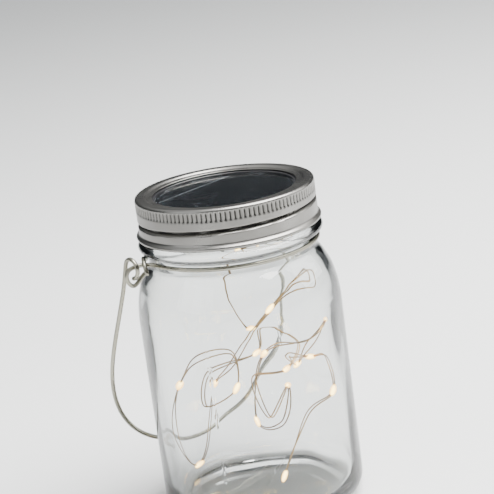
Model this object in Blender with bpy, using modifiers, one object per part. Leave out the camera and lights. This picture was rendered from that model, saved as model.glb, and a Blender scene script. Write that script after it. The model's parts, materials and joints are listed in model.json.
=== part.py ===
"""Mason jar lantern: a glass preserving jar with a solar lid, a string of small lights and a wire handle.

Metres, +Z up. The origin is the centre of the jar's flat base, and the jar's axis is the Z axis.
The lid insert is held by the screw band; the band's rolled thread follows the ridge on the jar's neck.
"""

import math

import bmesh
import bpy
from mathutils import Matrix, Vector

# ---- driving dimensions ----
clearance = 0.0003          # between pieces that touch on the real object
mm = 0.001

# glass jar
jar_height = 0.1301         # base to lip
body_radius = 0.0418
wall = 0.0030
base_thickness = 0.0050
heel_radius = 0.0075
lip_radius = 0.0334         # outside of the lip; the thread's root, neck, bead, band and lid follow it
mouth_radius = lip_radius - 0.0032
neck_radius = lip_radius + 0.0009       # groove that the neck wire sits in
bead_radius = lip_radius + 0.0043
thread_pitch = 0.00508
thread_depth = 0.0014
lip_to_bead = 0.0149        # lip to the bead's widest line
lip_to_wire = 0.0194        # lip to the neck wire
lip_to_shoulder = 0.0232
shoulder_height = 0.0220

# screw band
band_sheet = 0.0005
band_radius = lip_radius + 0.0031
band_height = 0.0168
flange_opening = lip_radius - 0.0042    # radius of the round window in the flange
flange_step = 0.0007
curl_radius = band_radius + 0.0012
groove_depth = 0.0016
band_thread_top = 0.0070    # below the band's top
band_thread_bottom = 0.0125

# lid insert
gasket_thickness = 0.0010
tray_flange = 0.0018
recess_radius = mouth_radius - 0.0019
recess_wall = 0.0010
recess_depth = 0.0007       # flange top to the clear sheet's top
sheet_thickness = 0.0005
cell_thickness = 0.0003
board_thickness = 0.0010
tray_floor = 0.0010
cup_radius = mouth_radius - 0.0018
cup_wall = 0.0012
cup_floor = 0.0010
battery_radius = 0.00525
battery_length = 0.0445
battery_y = -0.0060
cell_gap_offset = 0.0169    # line between the two solar cells, from the centre
cell_gap = 0.0004
cell_gap_heading = math.radians(136)
boss_radius = 0.0023
screw_radius = 0.0009
screw_head_radius = 0.0018
screw_head_height = 0.0009
screw_length = 0.0080
housing_screws = ((0.0200, 0.0140), (-0.0200, 0.0140), (0.0, -0.0222))
door_screw = (0.0, -0.0148)
circuit_size = (0.0290, 0.0150, 0.0010)
circuit_place = (0.0, 0.0110)
circuit_drop = 0.0055       # tray floor's underside to the board's top
switch_place = (-0.0090, 0.0110)
switch_size = (0.0090, 0.0040)
switch_travel = 0.0024
slider_size = (0.0018, 0.0016)
slider_proud = 0.0014
cord_exit = (0.0, 0.0150)
grommet_radius = 0.0018

# wire handle
wire_radius = 0.00075
ear_spread = math.radians(75)       # each ear's angle from the side that the handle hangs on
handle_side = math.radians(127)
eye_radius = neck_radius + 0.0096       # jar's axis to each hook's centre
eye_drop = 0.0003           # hook's centre below the neck wire
hook_radius = 0.00405
handle_width = 0.0960
handle_straight = 0.0490    # hook centres to the widest line
handle_arch = 0.0480        # widest line to the bottom of the arch

# string of lights
cord_radius = 0.00035
cord_points = 80
route_height = 0.1167       # height of the cup's floor that the route is laid out for

# ---- heights that follow ----
gasket_bottom = jar_height + clearance
tray_bottom = gasket_bottom + gasket_thickness + clearance
tray_top = tray_bottom + tray_flange
ledge_top = tray_top + clearance + band_sheet
band_top = ledge_top + flange_step
sheet_top = tray_top - recess_depth
cell_top = sheet_top - sheet_thickness - clearance
board_top = cell_top - cell_thickness - clearance
floor_top = board_top - board_thickness - clearance
floor_bottom = floor_top - tray_floor
cup_top = floor_bottom - clearance
battery_z = cup_top - clearance - battery_radius
cup_inside = battery_z - battery_radius - clearance
cup_bottom = cup_inside - cup_floor
circuit_top = floor_bottom - circuit_drop
circuit_bottom = circuit_top - circuit_size[2]
wire_z = jar_height - lip_to_wire
thread_start = jar_height - 0.0043      # height of the rolled groove at the front of the jar
thread_front = math.radians(270)

root = bpy.context.scene.collection


# ---- helpers ----
def collection(name):
    made = bpy.data.collections.new(name)
    root.children.link(made)
    return made


def material(name, colour, roughness, metallic=0.0):
    made = bpy.data.materials.new(name)
    made.use_nodes = True
    shader = made.node_tree.nodes["Principled BSDF"]
    shader.inputs["Base Color"].default_value = (*colour, 1.0)
    shader.inputs["Roughness"].default_value = roughness
    shader.inputs["Metallic"].default_value = metallic
    return made


def place(name, data, finish, into, parent=None):
    """A named object for the data, in its collection, with its material."""
    made = bpy.data.objects.new(name, data)
    into.objects.link(made)
    if finish:
        data.materials.append(finish)
    if parent:
        made.parent = parent
    return made


def arc(centre, radius, start, end, count):
    """Points on an arc in the profile plane, angles in degrees from +X towards +Z."""
    points = []
    for i in range(count):
        angle = math.radians(start + (end - start) * i / (count - 1))
        points.append((centre[0] + radius * math.cos(angle), centre[1] + radius * math.sin(angle)))
    return points


def profile_mesh(name, points, closed):
    mesh = bpy.data.meshes.new(name)
    count = len(points)
    edges = [(i, i + 1) for i in range(count - 1)]
    if closed:
        edges.append((count - 1, 0))
    mesh.from_pydata([(r, 0.0, z) for r, z in points], edges, [])
    return mesh


def turned(name, points, finish, into, closed=True, steps=32, parent=None):
    """A profile turned round Z. A ring's profile is closed; a solid's starts and ends on the axis."""
    made = place(name, profile_mesh(name, points, closed), finish, into, parent)
    screw = made.modifiers.new("turn", "SCREW")
    screw.steps = steps
    screw.render_steps = steps
    screw.use_merge_vertices = True
    screw.merge_threshold = 0.00001
    screw.use_smooth_shade = True
    return made


def evaluated_mesh(source):
    """The object's mesh with its modifiers applied; the object and its own data are removed."""
    graph = bpy.context.evaluated_depsgraph_get()
    mesh = bpy.data.meshes.new_from_object(source.evaluated_get(graph))
    bpy.data.objects.remove(source)
    return mesh


def shifted_radius(mesh, shift):
    """Moves each vertex in or out by shift(angle, radius, height)."""
    for vertex in mesh.vertices:
        x, y, z = vertex.co
        radius = math.hypot(x, y)
        if radius < 0.001:
            continue
        scale = 1.0 + shift(math.atan2(y, x), radius, z) / radius
        vertex.co = (x * scale, y * scale, z)


def box(name, low, high, finish, into, parent=None, bevel=0.0):
    mesh = bpy.data.meshes.new(name)
    shape = bmesh.new()
    bmesh.ops.create_cube(shape, size=1.0)
    size = Vector(high) - Vector(low)
    middle = (Vector(high) + Vector(low)) / 2
    bmesh.ops.scale(shape, vec=size, verts=shape.verts)
    bmesh.ops.translate(shape, vec=middle, verts=shape.verts)
    shape.to_mesh(mesh)
    shape.free()
    made = place(name, mesh, finish, into, parent)
    if bevel:
        edge = made.modifiers.new("edges", "BEVEL")
        edge.width = bevel
        edge.segments = 1
    return made


def cylinder(name, radius, low, high, centre, finish, into, segments=16):
    mesh = bpy.data.meshes.new(name)
    shape = bmesh.new()
    bmesh.ops.create_cone(shape, cap_ends=True, segments=segments, radius1=radius, radius2=radius,
                          depth=high - low)
    bmesh.ops.translate(shape, vec=(centre[0], centre[1], (low + high) / 2), verts=shape.verts)
    shape.to_mesh(mesh)
    shape.free()
    return place(name, mesh, finish, into)


def combine(target, other, operation):
    cut = target.modifiers.new(operation.lower(), "BOOLEAN")
    cut.operation = operation
    cut.object = other
    other.hide_render = True
    other.display_type = "WIRE"


def tube(name, points, radius, finish, into, parent=None):
    curve = bpy.data.curves.new(name, "CURVE")
    curve.dimensions = "3D"
    curve.bevel_depth = radius
    curve.bevel_resolution = 2
    curve.use_fill_caps = True
    spline = curve.splines.new("POLY")
    spline.points.add(len(points) - 1)
    for point, place_of in zip(spline.points, points):
        point.co = (*place_of, 1.0)
    return place(name, curve, finish, into, parent)


def smooth_points(route, count):
    """Evenly spaced points on a Catmull-Rom curve through the route."""
    ends = [2 * route[0] - route[1]] + list(route) + [2 * route[-1] - route[-2]]
    fine = []
    for a, b, c, d in zip(ends, ends[1:], ends[2:], ends[3:]):
        for i in range(24):
            t = i / 24
            fine.append(0.5 * (2 * b + (c - a) * t + (2 * a - 5 * b + 4 * c - d) * t * t
                               + (3 * b - a - 3 * c + d) * t ** 3))
    fine.append(route[-1])
    lengths = [0.0]
    for a, b in zip(fine, fine[1:]):
        lengths.append(lengths[-1] + (b - a).length)
    points = []
    spot = 0
    for i in range(count):
        wanted = lengths[-1] * i / (count - 1)
        while spot < len(fine) - 2 and lengths[spot + 1] < wanted:
            spot += 1
        share = (wanted - lengths[spot]) / (lengths[spot + 1] - lengths[spot])
        points.append(fine[spot].lerp(fine[spot + 1], min(share, 1.0)))
    return points


# ---- thread shared by the jar and the band ----
def ridge(distance, half_width):
    """A rounded ridge's height from 0 to 1, at a distance from its crest."""
    if abs(distance) >= half_width:
        return 0.0
    return math.cos(math.pi * distance / (2 * half_width)) ** 2


def fade(height, low, high, run):
    """1 between low and high, falling to 0 over the run at each end."""
    return max(0.0, min(1.0, (height - low) / run + 1.0, (high - height) / run + 1.0))


def pitch_distance(angle, height, offset):
    """Height above the nearest turn of a right-hand helix through thread_start at the front."""
    helix = thread_start + offset + thread_pitch * (angle - thread_front) / (2 * math.pi)
    return (height - helix + thread_pitch / 2) % thread_pitch - thread_pitch / 2


thread_half_width = 0.0015
thread_low = jar_height - 0.0097
thread_high = jar_height - 0.0027
thread_run = 0.0012


def jar_thread(angle, radius, height):
    inside = radius < mouth_radius + 0.001
    if inside or height < thread_low - thread_run or height > thread_high + thread_run:
        return 0.0
    crest = ridge(pitch_distance(angle, height, thread_pitch / 2), thread_half_width)
    return thread_depth * crest * fade(height, thread_low, thread_high, thread_run)


def band_thread(angle, radius, height):
    low, high = band_top - band_thread_bottom, band_top - band_thread_top
    if radius < lip_radius or height < low - clearance or height > high + clearance:
        return 0.0
    groove = ridge(pitch_distance(angle, height, 0.0), thread_half_width)
    return -groove_depth * groove * fade(height, low + thread_run, high - thread_run, thread_run)


def even_rows(radius, top, bottom, count):
    return [(radius, top + (bottom - top) * i / (count - 1)) for i in range(count)]


# ---- glass jar ----
def glass_jar(finish, into):
    lip = jar_height
    bead = lip - lip_to_bead
    shoulder = lip - lip_to_shoulder
    body_top = shoulder - shoulder_height
    reach = body_radius - neck_radius
    outside = [(mouth_radius + 0.9 * mm, lip), (lip_radius - 0.8 * mm, lip), (lip_radius, lip - 0.8 * mm)]
    outside += even_rows(lip_radius + 0.4 * mm, lip - 1.5 * mm, lip - 10.9 * mm, 13)
    outside += [
        (lip_radius + 1.4 * mm, bead + 3.1 * mm),
        (bead_radius - 1.2 * mm, bead + 1.9 * mm),
        (bead_radius - 0.2 * mm, bead + 0.8 * mm),
        (bead_radius, bead),
        (bead_radius - 0.4 * mm, bead - 1.2 * mm),
        (neck_radius + 1.2 * mm, bead - 2.4 * mm),
        (neck_radius, bead - 3.1 * mm),
        (neck_radius, shoulder + 0.9 * mm),
        (neck_radius + 0.06 * reach, shoulder - 0.02 * shoulder_height),
        (neck_radius + 0.24 * reach, shoulder - 0.10 * shoulder_height),
        (neck_radius + 0.43 * reach, shoulder - 0.21 * shoulder_height),
        (neck_radius + 0.66 * reach, shoulder - 0.37 * shoulder_height),
        (neck_radius + 0.83 * reach, shoulder - 0.57 * shoulder_height),
        (neck_radius + 0.94 * reach, shoulder - 0.78 * shoulder_height),
        (body_radius, body_top),
        (body_radius, heel_radius),
    ]
    outside += arc((body_radius - heel_radius, heel_radius), heel_radius, -22, -90, 4)
    inner = body_radius - wall
    inner_reach = inner - mouth_radius
    floor_edge = inner - 0.6 * heel_radius
    inside = [
        (floor_edge, base_thickness),
        (inner - 0.15 * heel_radius, base_thickness + 0.35 * heel_radius),
        (inner, base_thickness + heel_radius),
        (inner, body_top),
        (inner - 0.10 * inner_reach, shoulder - 0.70 * shoulder_height),
        (inner - 0.28 * inner_reach, shoulder - 0.44 * shoulder_height),
        (inner - 0.58 * inner_reach, shoulder - 0.20 * shoulder_height),
        (inner - 0.88 * inner_reach, shoulder + 0.02 * shoulder_height),
        (mouth_radius, shoulder + 0.20 * shoulder_height),
        (mouth_radius, lip - 0.7 * mm),
    ]
    blank = turned("jar_blank", outside + [(0.0, 0.0), (0.0, base_thickness)] + inside, None, into,
                   closed=True, steps=48)
    mesh = evaluated_mesh(blank)
    clean(mesh)
    shifted_radius(mesh, jar_thread)
    return place("glass_jar", mesh, finish, into)


def clean(mesh):
    """Welds the points that meet on the axis and drops the faces that closed up there."""
    shape = bmesh.new()
    shape.from_mesh(mesh)
    bmesh.ops.remove_doubles(shape, verts=shape.verts, dist=0.00001)
    bmesh.ops.dissolve_degenerate(shape, edges=shape.edges, dist=0.000001)
    loose = [edge for edge in shape.edges if not edge.link_faces]
    bmesh.ops.delete(shape, geom=loose, context="EDGES")
    bmesh.ops.recalc_face_normals(shape, faces=shape.faces)
    shape.to_mesh(mesh)
    shape.free()


# ---- screw band ----
def screw_band(finish, into, parent):
    top = band_top
    wall_top = top - 0.0012
    thread_top, thread_bottom = top - band_thread_top, top - band_thread_bottom
    corner = band_radius - 0.0012
    step_out = flange_opening + 0.0035
    step_in = flange_opening + 0.0027
    outside = [(flange_opening + 0.2 * mm, ledge_top), (step_in, ledge_top), (step_out, top - 0.1 * mm)]
    outside += arc((corner, wall_top), 0.0012, 90, 0, 4)
    outside += even_rows(band_radius, thread_top + 0.5 * mm, thread_bottom - 0.1 * mm, 13)
    curl_middle = top - band_height + 0.0010
    outside += arc((curl_radius - 0.0009, curl_middle), 0.0009, 70, -110, 5)
    inner = band_radius - band_sheet
    inside = [(inner - 0.1 * mm, curl_middle - 0.6 * mm)]
    inside += even_rows(inner, thread_bottom - 0.1 * mm, thread_top + 0.5 * mm, 13)
    inside += arc((corner, wall_top), 0.0012 - band_sheet, 0, 90, 3)
    inside += [
        (step_out + 0.2 * mm, top - band_sheet - 0.1 * mm),
        (step_in + 0.2 * mm, ledge_top - band_sheet),
        (flange_opening + 0.2 * mm, ledge_top - band_sheet),
        (flange_opening, ledge_top - band_sheet / 2),
    ]
    blank = turned("band_blank", outside + inside, None, into, steps=48)
    mesh = evaluated_mesh(blank)
    shifted_radius(mesh, band_thread)
    return place("screw_band", mesh, finish, into, parent)


# ---- lid insert ----
def lid_gasket(finish, into, parent):
    inner, outer = mouth_radius + 0.2 * mm, lip_radius - 0.1 * mm
    low, high = gasket_bottom, gasket_bottom + gasket_thickness
    turned("lid_gasket", [(inner, high), (outer, high), (outer, low), (inner, low)], finish, into, parent=parent)


def solar_tray(finish, into, cutters, parent):
    """The round tray that rests on the gasket, with the recess for the panel and the bosses below."""
    flange = lip_radius - 0.2 * mm
    outer = recess_radius + recess_wall
    outline = [
        (recess_radius, tray_top - 0.2 * mm), (recess_radius + 0.2 * mm, tray_top), (flange, tray_top),
        (flange, tray_bottom), (outer, tray_bottom), (outer, floor_bottom), (0.0, floor_bottom),
        (0.0, floor_top), (recess_radius, floor_top),
    ]
    blank = turned("tray_blank", outline, None, into)
    mesh = evaluated_mesh(blank)
    clean(mesh)
    tray = place("solar_tray", mesh, finish, into, parent)
    low = cup_inside + clearance
    for number, spot in enumerate(housing_screws + (door_screw,)):
        boss = cylinder(f"boss_{number}", boss_radius, low, floor_bottom + 0.5 * mm, spot, None, cutters)
        combine(tray, boss, "UNION")
        hole = cylinder(f"boss_hole_{number}", screw_radius + clearance, low - mm, floor_bottom - 0.5 * mm,
                        spot, None, cutters, 12)
        combine(tray, hole, "DIFFERENCE")


def chord_disc(name, radius, low, high, keep, finish, into, parent):
    """A disc cut straight along the line between the two cells; keep is 1 for the large side, -1 for the small."""
    normal = Vector((math.cos(cell_gap_heading), math.sin(cell_gap_heading), 0.0))
    mesh = bpy.data.meshes.new(name)
    shape = bmesh.new()
    bmesh.ops.create_cone(shape, cap_ends=True, segments=48, radius1=radius, radius2=radius, depth=high - low)
    bmesh.ops.translate(shape, vec=(0.0, 0.0, (low + high) / 2), verts=shape.verts)
    edge = cell_gap_offset - keep * cell_gap / 2
    cut = bmesh.ops.bisect_plane(shape, geom=shape.verts[:] + shape.edges[:] + shape.faces[:],
                                 plane_co=normal * edge, plane_no=normal * keep, clear_outer=True)
    rim = [item for item in cut["geom_cut"] if isinstance(item, bmesh.types.BMEdge)]
    bmesh.ops.holes_fill(shape, edges=rim)
    bmesh.ops.recalc_face_normals(shape, faces=shape.faces)
    shape.to_mesh(mesh)
    shape.free()
    place(name, mesh, finish, into, parent)


def solar_panel(finishes, into, parent):
    radius = recess_radius - clearance
    outline = [(0.0, sheet_top), (radius, sheet_top), (radius, sheet_top - sheet_thickness),
               (0.0, sheet_top - sheet_thickness)]
    turned("panel_sheet", outline, finishes["clear"], into, closed=False, parent=parent, steps=48)
    outline = [(0.0, board_top), (radius, board_top), (radius, board_top - board_thickness),
               (0.0, board_top - board_thickness)]
    turned("panel_board", outline, finishes["board"], into, closed=False, parent=parent, steps=32)
    low = cell_top - cell_thickness
    edge = radius - 0.4 * mm
    chord_disc("solar_cell_large", edge, low, cell_top, 1, finishes["cell"], into, parent)
    chord_disc("solar_cell_small", edge, low, cell_top, -1, finishes["cell"], into, parent)


def door_outline(gap):
    """The battery door's T-shaped outline as two boxes, shrunk by a gap."""
    half_length = battery_length / 2 + 0.0012
    half_width = battery_radius + 0.0008
    main = ((-half_length + gap, battery_y - half_width + gap), (half_length - gap, battery_y + half_width - gap))
    tab_half = boss_radius + 0.0007
    tab = ((-tab_half + gap, door_screw[1] - tab_half + gap), (tab_half - gap, battery_y))
    return main, tab


def battery_cup(finish, into, cutters, parent):
    outline = [
        (cup_radius - cup_wall, cup_top), (cup_radius, cup_top), (cup_radius, cup_bottom + 0.6 * mm),
        (cup_radius - 0.6 * mm, cup_bottom), (0.0, cup_bottom), (0.0, cup_inside),
        (cup_radius - cup_wall, cup_inside),
    ]
    blank = turned("cup_blank", outline, None, into, steps=40)
    mesh = evaluated_mesh(blank)
    clean(mesh)
    cup = place("battery_cup", mesh, finish, into, parent)
    low, high = cup_bottom - mm, cup_inside + mm
    for number, (corner, far) in enumerate(door_outline(0.0)):
        hole = box(f"door_hole_{number}", (*corner, low), (*far, high), None, cutters)
        combine(cup, hole, "DIFFERENCE")
    for number, spot in enumerate(housing_screws):
        hole = cylinder(f"screw_hole_{number}", screw_radius + clearance, low, high, spot, None, cutters, 12)
        combine(cup, hole, "DIFFERENCE")
    hole = cylinder("grommet_hole", grommet_radius + clearance, low, high, cord_exit, None, cutters)
    combine(cup, hole, "DIFFERENCE")
    reach = slider_size[0] / 2 + clearance + switch_travel / 2
    half = slider_size[1] / 2 + clearance
    x, y = switch_place
    hole = box("slider_hole", (x - reach, y - half, low), (x + reach, y + half, high), None, cutters)
    combine(cup, hole, "DIFFERENCE")


def battery_door(finish, into, cutters, parent):
    main, tab = door_outline(clearance)
    door = box("battery_door", (*main[0], cup_bottom), (*main[1], cup_inside), finish, into, parent)
    ear = box("door_tab", (*tab[0], cup_bottom), (*tab[1], cup_inside), None, cutters)
    combine(door, ear, "UNION")
    hole = cylinder("door_hole", screw_radius + clearance, cup_bottom - mm, cup_inside + mm, door_screw,
                    None, cutters, 12)
    combine(door, hole, "DIFFERENCE")


def screw(name, spot, finish, into, parent):
    """A pan-head screw driven up from below the cup's floor."""
    under = cup_bottom - clearance
    tip = under + screw_length
    rim = screw_head_radius
    outline = [
        (0.0, tip), (0.6 * screw_radius, tip), (screw_radius, tip - 0.8 * mm),
        (screw_radius, under), (rim, under), (rim, under - 0.5 * screw_head_height),
        (0.7 * rim, under - screw_head_height), (0.0, under - screw_head_height),
    ]
    made = turned(name, outline, finish, into, closed=False, steps=12, parent=parent)
    made.location = (*spot, 0.0)


def circuit(finishes, into, parent):
    half_x, half_y = circuit_size[0] / 2, circuit_size[1] / 2
    x, y = circuit_place
    box("circuit_board", (x - half_x, y - half_y, circuit_bottom), (x + half_x, y + half_y, circuit_top),
        finishes["circuit"], into, parent)
    on_top = circuit_top + clearance
    box("driver_chip", (x - 0.0020, y - 0.0015, on_top), (x + 0.0020, y + 0.0015, on_top + 0.0015),
        finishes["chip"], into, parent, bevel=0.0003)
    coil = turned("inductor", [(0.0, on_top + 0.0030), (0.0016, on_top + 0.0030), (0.0020, on_top + 0.0026),
                               (0.0020, on_top + 0.0004), (0.0016, on_top), (0.0, on_top)],
                  finishes["inductor"], into, closed=False, steps=16, parent=parent)
    coil.location = (x + 0.0080, y - 0.0020, 0.0)


def switch(finishes, into, cutters, parent):
    x, y = switch_place
    half_x, half_y = switch_size[0] / 2, switch_size[1] / 2
    top, low = circuit_bottom - clearance, cup_inside + clearance
    body = box("switch_body", (x - half_x, y - half_y, low), (x + half_x, y + half_y, top),
               finishes["chip"], into, parent)
    half = slider_size[1] / 2
    reach = slider_size[0] / 2 + clearance + switch_travel / 2
    slot = box("switch_slot", (x - reach, y - half - clearance, low - mm),
               (x + reach, y + half + clearance, low + 0.0016), None, cutters)
    combine(body, slot, "DIFFERENCE")
    start = x - switch_travel / 2
    box("switch_slider", (start - slider_size[0] / 2, y - half, cup_bottom - slider_proud),
        (start + slider_size[0] / 2, y + half, low + 0.0016 - clearance), finishes["slider"], into, parent,
        bevel=0.0002)


def battery(finishes, into, parent):
    """The cell lies along X, with a coil spring on a plate at one end and a flat plate at the other."""
    half = battery_length / 2
    rim = battery_radius
    outline = [
        (0.0, half), (0.0019, half), (0.0021, half - 0.0010), (rim - 0.0004, half - 0.0010),
        (rim, half - 0.0014), (rim, -half + 0.0004), (rim - 0.0004, -half), (0.0, -half),
    ]
    cell = turned("battery_cell", outline, finishes["battery"], into, closed=False, steps=24, parent=parent)
    cell.rotation_euler = (0.0, math.radians(90), 0.0)
    cell.location = (0.0, battery_y, battery_z)
    plate = 0.0004
    far = math.sqrt((cup_radius - cup_wall - clearance) ** 2 - (battery_y - 0.0030) ** 2)
    low, high = battery_z - 0.0035, battery_z + 0.0035
    for name, side in (("contact_plate_plus", 1), ("contact_plate_minus", -1)):
        edges = sorted((side * far, side * (far - plate)))
        box(name, (edges[0], battery_y - 0.0030, low), (edges[1], battery_y + 0.0030, high),
            finishes["contact"], into, parent)
    spring_end, spring_start = -half - clearance - 0.0003, -far + plate + clearance + 0.0003
    turns, per_turn = 2, 12
    points = []
    for i in range(turns * per_turn + 1):
        share = i / (turns * per_turn)
        angle = 2 * math.pi * turns * share
        radius = 0.0026 - 0.0010 * share
        points.append(Vector((spring_start + (spring_end - spring_start) * share,
                              battery_y + radius * math.cos(angle), battery_z + radius * math.sin(angle))))
    tube("contact_spring", points, 0.00022, finishes["contact"], into, parent)


def cord_grommet(finish, into, parent):
    """A small sleeve in the cup's floor, with a flange on each side, that the cord passes through."""
    bore = cord_radius + 0.00030
    top, low = cup_inside + clearance, cup_bottom - clearance
    flange = grommet_radius + 0.0009
    outline = [
        (bore, top + 0.0006), (flange, top + 0.0006), (flange, top), (grommet_radius, top),
        (grommet_radius, low), (flange, low), (flange - 0.0003, low - 0.0008), (bore, low - 0.0010),
    ]
    made = turned("cord_grommet", outline, finish, into, steps=20, parent=parent)
    made.location = (*cord_exit, 0.0)


# ---- string of lights: its route through the jar, in millimetres ----
light_route = (
    (0, 15, 117), (0, 15, 109), (-5, 14, 95), (-4, 10, 82), (4, 3, 73), (20, -3, 88), (31, 6, 88),
    (28, -1, 95), (11, -17, 86), (-7, -6, 62), (-15, 9, 49), (-20, 24, 28), (-27, 18, 10), (-36, 5, 28),
    (-28, -8, 57), (-20, -21, 71), (-6, -28, 74), (-6, -31, 60), (-19, -24, 52), (-16, -6, 60),
    (5, 8, 60), (8, 22, 66), (23, 25, 57), (14, 11, 50), (2, -3, 53), (6, -10, 38), (14, 3, 46),
    (11, 18, 24), (0, 25, 24), (8, 12, 58), (25, -18, 72), (34, -8, 76), (27, 5, 63), (20, 19, 49),
    (16, 0, 60), (27, 15, 53), (33, 2, 56), (32, -11, 46), (20, -16, 38), (8, -20, 14),
)


def light_string(finish, into, parent):
    stretch = cup_bottom / route_height
    route = [Vector((x, y, z * stretch)) * mm for x, y, z in light_route]
    tube("led_string", smooth_points(route, cord_points), cord_radius, finish, into, parent)


# ---- wire round the neck ----
def round_point(azimuth, radius, height):
    return Vector((radius * math.cos(azimuth), radius * math.sin(azimuth), height))


def ear_point(azimuth, ring, out, along, up):
    """A point near an ear: out from the ring's radius, along the ring, and up from the wire's height."""
    outward = round_point(azimuth, 1.0, 0.0)
    side = Vector((-outward.y, outward.x, 0.0))
    return outward * (ring + out * mm) + side * along * mm + Vector((0.0, 0.0, wire_z + up * mm))


def neck_wire(finish, into):
    """One length of wire: an ear, the front half of the ring, the other ear, the back half, and a cut tail."""
    ring = neck_radius + clearance + wire_radius
    out = eye_radius - ring         # ring to the hooks' centres
    first = handle_side + ear_spread
    second = handle_side - ear_spread + 2 * math.pi
    loop = [            # out past the hook's centre in millimetres, and up
        (-4.0, 0.5), (-1.5, 0.3), (0.7, -0.1), (2.0, -1.0), (2.7, -2.7), (2.6, -4.7), (1.7, -6.6),
        (0.3, -7.7), (-1.2, -7.2), (-2.8, -5.6), (-4.6, -4.0),
    ]
    reach = out / mm
    points = [ear_point(first, ring, 1.7, -0.8, -2.8)]
    points += [ear_point(first, ring, reach + a, -0.6 + 0.1 * i, b) for i, (a, b) in enumerate(reversed(loop))]
    points += [ear_point(first, ring, 1.6, 2.6, 0.3)]
    gap = math.radians(8)
    steps = 22
    for i in range(steps + 1):
        azimuth = first + gap + (second - first - 2 * gap) * i / steps
        points.append(round_point(azimuth, ring, wire_z))
    points += [ear_point(second, ring, 1.6, -2.6, 0.3)]
    points += [ear_point(second, ring, reach + a, -0.6 + 0.1 * i, b) for i, (a, b) in enumerate(loop)]
    points += [ear_point(second, ring, 1.6, 2.2, -2.2)]
    steps = 14
    start, end = second + math.radians(11), first + 2 * math.pi - math.radians(11)
    for i in range(steps + 1):
        azimuth = start + (end - start) * i / steps
        points.append(round_point(azimuth, ring, wire_z - (0.6 * mm if i == 0 else 0.0)))
    tail = ((1.2, -4.6, 1.3), (2.5, -2.0, 2.4), (3.4, 1.0, 2.5), (4.1, 3.0, 1.3), (4.3, 4.3, -0.8), (4.1, 5.0, -3.0))
    points += [ear_point(first, ring, *spot) for spot in tail]
    tube("neck_wire", points, wire_radius, finish, into)


# ---- wire handle ----
def handle_frame():
    """The handle's hinge frame: X along the line through both hooks, Z up the handle at rest."""
    first = round_point(handle_side + ear_spread, eye_radius, wire_z - eye_drop)
    second = round_point(handle_side - ear_spread, eye_radius, wire_z - eye_drop)
    along = (second - first).normalized()
    outward = Vector((-along.y, along.x, 0.0))
    middle = (first + second) / 2
    # the arch leans on the jar: reach * sin(lean) + hook * cos(lean) = gap to the wall
    drop = handle_straight + handle_arch
    gap = body_radius + wire_radius + clearance - middle.dot(outward)
    lean = math.asin(gap / math.hypot(drop, hook_radius)) - math.atan2(hook_radius, drop)
    up = Vector((0.0, 0.0, 1.0)) * math.cos(lean) - outward * math.sin(lean)
    away = up.cross(along)
    frame = Matrix((along, away, up)).transposed().to_4x4()
    frame.translation = middle
    return frame, (second - first).length / 2


def bail_handle(finish, into, parent):
    """Hook, leg, arch, leg and hook, in the hinge's own frame; the legs stand off the axis by the hook's radius."""
    frame, half_span = handle_frame()
    parent.matrix_world = frame
    half_width = handle_width / 2
    side = []
    for i in range(11):             # hook: from its cut end round over the top to the leg
        angle = math.radians(-78 + 258 * i / 10)
        side.append(Vector((half_span, -hook_radius * math.cos(angle), hook_radius * math.sin(angle))))
    for i in range(1, 8):           # leg, bowing out to the widest line
        share = i / 8
        swell = (3 * share ** 2 - 2 * share ** 3) * (half_width - half_span)
        side.append(Vector((half_span + swell, hook_radius, -handle_straight * share)))
    for i in range(9):              # half of the arch
        angle = math.radians(90 * i / 9)
        side.append(Vector((half_width * math.cos(angle), hook_radius,
                            -handle_straight - handle_arch * math.sin(angle))))
    bottom = Vector((0.0, hook_radius, -handle_straight - handle_arch))
    other = [Vector((-p.x, p.y, p.z)) for p in reversed(side)]
    tube("bail_handle", side + [bottom] + other, wire_radius, finish, into, parent)


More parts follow.
